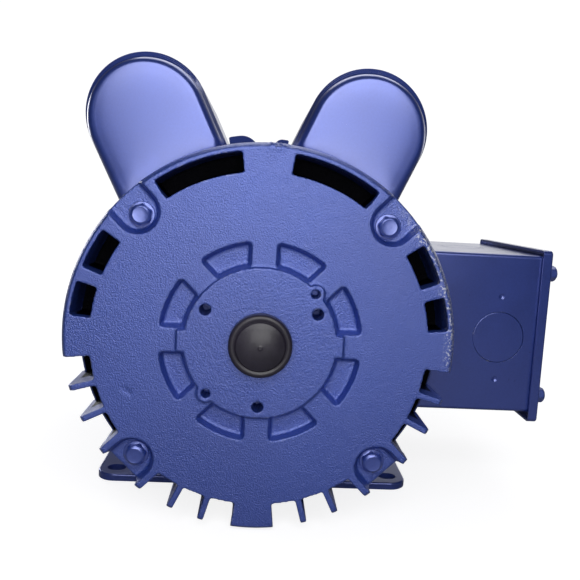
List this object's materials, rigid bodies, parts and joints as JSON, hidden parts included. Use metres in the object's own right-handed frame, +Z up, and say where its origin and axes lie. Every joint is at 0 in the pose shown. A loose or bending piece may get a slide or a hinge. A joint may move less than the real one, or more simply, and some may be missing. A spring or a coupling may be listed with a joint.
{
  "type": "electric motor",
  "caption": "Foot-mounted open drip-proof single-phase motor with cast endshields, capacitor covers, side conduit box and keyed shaft.",
  "frame": {"origin": "centre of the base bolt pattern on the underside of the base", "axes": "+Z up, +Y along the shaft towards its free end, +X towards the conduit box"},
  "size_m": [0.3197, 0.3728, 0.2851],
  "materials": {
    "cast_blue": "textured semi-gloss enamel on cast aluminium",
    "sheet_blue": "smooth semi-gloss enamel on sheet steel",
    "painted_hardware": "enamel over zinc plated steel",
    "zinc_steel": "zinc plated steel",
    "black_plastic": "moulded black plastic",
    "laminations": "stacked electrical steel, varnished",
    "copper_winding": "varnished enamelled copper wire",
    "insulation": "insulating sheet",
    "bright_steel": "ground steel",
    "cast_aluminium": "bare aluminium",
    "bearing_steel": "polished bearing steel",
    "phenolic": "moulded phenolic",
    "brass_parts": "bright brass",
    "governor_steel": "sintered steel",
    "galvanised": "galvanised sheet",
    "rubber_parts": "black rubber"
  },
  "bodies": {
    "stator": {"air_baffle": "galvanised", "base_plate": "sheet_blue", "base_saddles": "sheet_blue", "bearing_cap_screws": "zinc_steel", "box_fixing_screws": "zinc_steel", "box_gasket": "rubber_parts", "capacitor_cover_left": "sheet_blue", "capacitor_cover_right": "sheet_blue", "capacitor_straps": "galvanised", "capacitor_terminals": "brass_parts", "conduit_box": "sheet_blue", "conduit_box_lid": "sheet_blue", "cover_screws": "painted_hardware", "drive_bearing_cap": "cast_aluminium", "drive_endshield": "cast_blue", "drive_outer_race": "bearing_steel", "frame_shell": "sheet_blue", "ground_screw": "zinc_steel", "knockout_discs": "sheet_blue", "lead_grommet": "rubber_parts", "lid_gasket": "rubber_parts", "lid_screws": "painted_hardware", "main_winding": "copper_winding", "nameplate": "cast_aluminium", "nameplate_rivets": "cast_aluminium", "rear_bearing_plug": "black_plastic", "rear_endshield": "cast_blue", "rear_outer_race": "bearing_steel", "run_capacitor": "cast_aluminium", "slot_wedges": "insulation", "start_capacitor": "black_plastic", "start_winding": "copper_winding", "stator_core": "laminations", "switch_arm_pin": "zinc_steel", "switch_board": "phenolic", "switch_board_screws": "zinc_steel", "switch_bracket": "zinc_steel", "switch_contacts": "brass_parts", "switch_standoffs": "zinc_steel", "terminal_board": "phenolic", "terminal_studs": "brass_parts", "through_bolt_nuts": "zinc_steel", "through_bolts": "painted_hardware", "wave_spring": "zinc_steel"},
    "rotor": {"shaft": "bright_steel", "rotor_core": "laminations", "rotor_cage": "cast_aluminium", "rear_inner_race": "bearing_steel", "drive_inner_race": "bearing_steel", "governor_plate": "zinc_steel", "governor_pins": "zinc_steel"},
    "rear_cage": {"rear_bearing_balls": "bearing_steel", "rear_bearing_cage": "bearing_steel"},
    "drive_cage": {"drive_bearing_balls": "bearing_steel", "drive_bearing_cage": "bearing_steel"},
    "collar": {"governor_collar": "phenolic"},
    "weight_upper": {"governor_weight_upper": "governor_steel"},
    "weight_lower": {"governor_weight_lower": "governor_steel"},
    "switch_arm": {"switch_arm": "brass_parts"}
  },
  "joints": [
    {"name": "rotor_spin", "type": "hinge", "parent": "stator", "child": "rotor", "pos_m": [0, 0, 0.1143], "axis": [0, 1, 0], "continuous": true},
    {"name": "rear_cage_spin", "type": "hinge", "parent": "stator", "child": "rear_cage", "pos_m": [0, 0, 0.1143], "axis": [0, 1, 0], "continuous": true},
    {"name": "drive_cage_spin", "type": "hinge", "parent": "stator", "child": "drive_cage", "pos_m": [0, 0, 0.1143], "axis": [0, 1, 0], "continuous": true},
    {"name": "weight_swing", "type": "hinge", "parent": "rotor", "child": "weight_upper", "pos_m": [0, -0.097, 0.1463], "axis": [1, 0, 0], "range_deg": [0, 15.8]},
    {"name": "lower_weight_swing", "type": "hinge", "parent": "rotor", "child": "weight_lower", "pos_m": [0, -0.097, 0.0823], "axis": [-1, 0, 0], "range_deg": [0, 15.8]},
    {"name": "collar_slide", "type": "slide", "parent": "rotor", "child": "collar", "axis": [0, 1, 0], "range_m": [0, 0.003]},
    {"name": "switch_arm_swing", "type": "hinge", "parent": "stator", "child": "switch_arm", "pos_m": [-0.048, -0.1127, 0.1143], "axis": [0, 0, 1], "range_deg": [0, 3.4]}
  ],
  "couplings": [
    {"joint": "rear_cage_spin", "follows": "rotor_spin", "ratio": 0.3969},
    {"joint": "drive_cage_spin", "follows": "rotor_spin", "ratio": 0.3965},
    {"joint": "lower_weight_swing", "follows": "weight_swing", "ratio": 1},
    {"joint": "collar_slide", "follows": "weight_swing", "m_per_rad": 0.010878},
    {"joint": "switch_arm_swing", "follows": "weight_swing", "ratio": 0.21517}
  ]
}
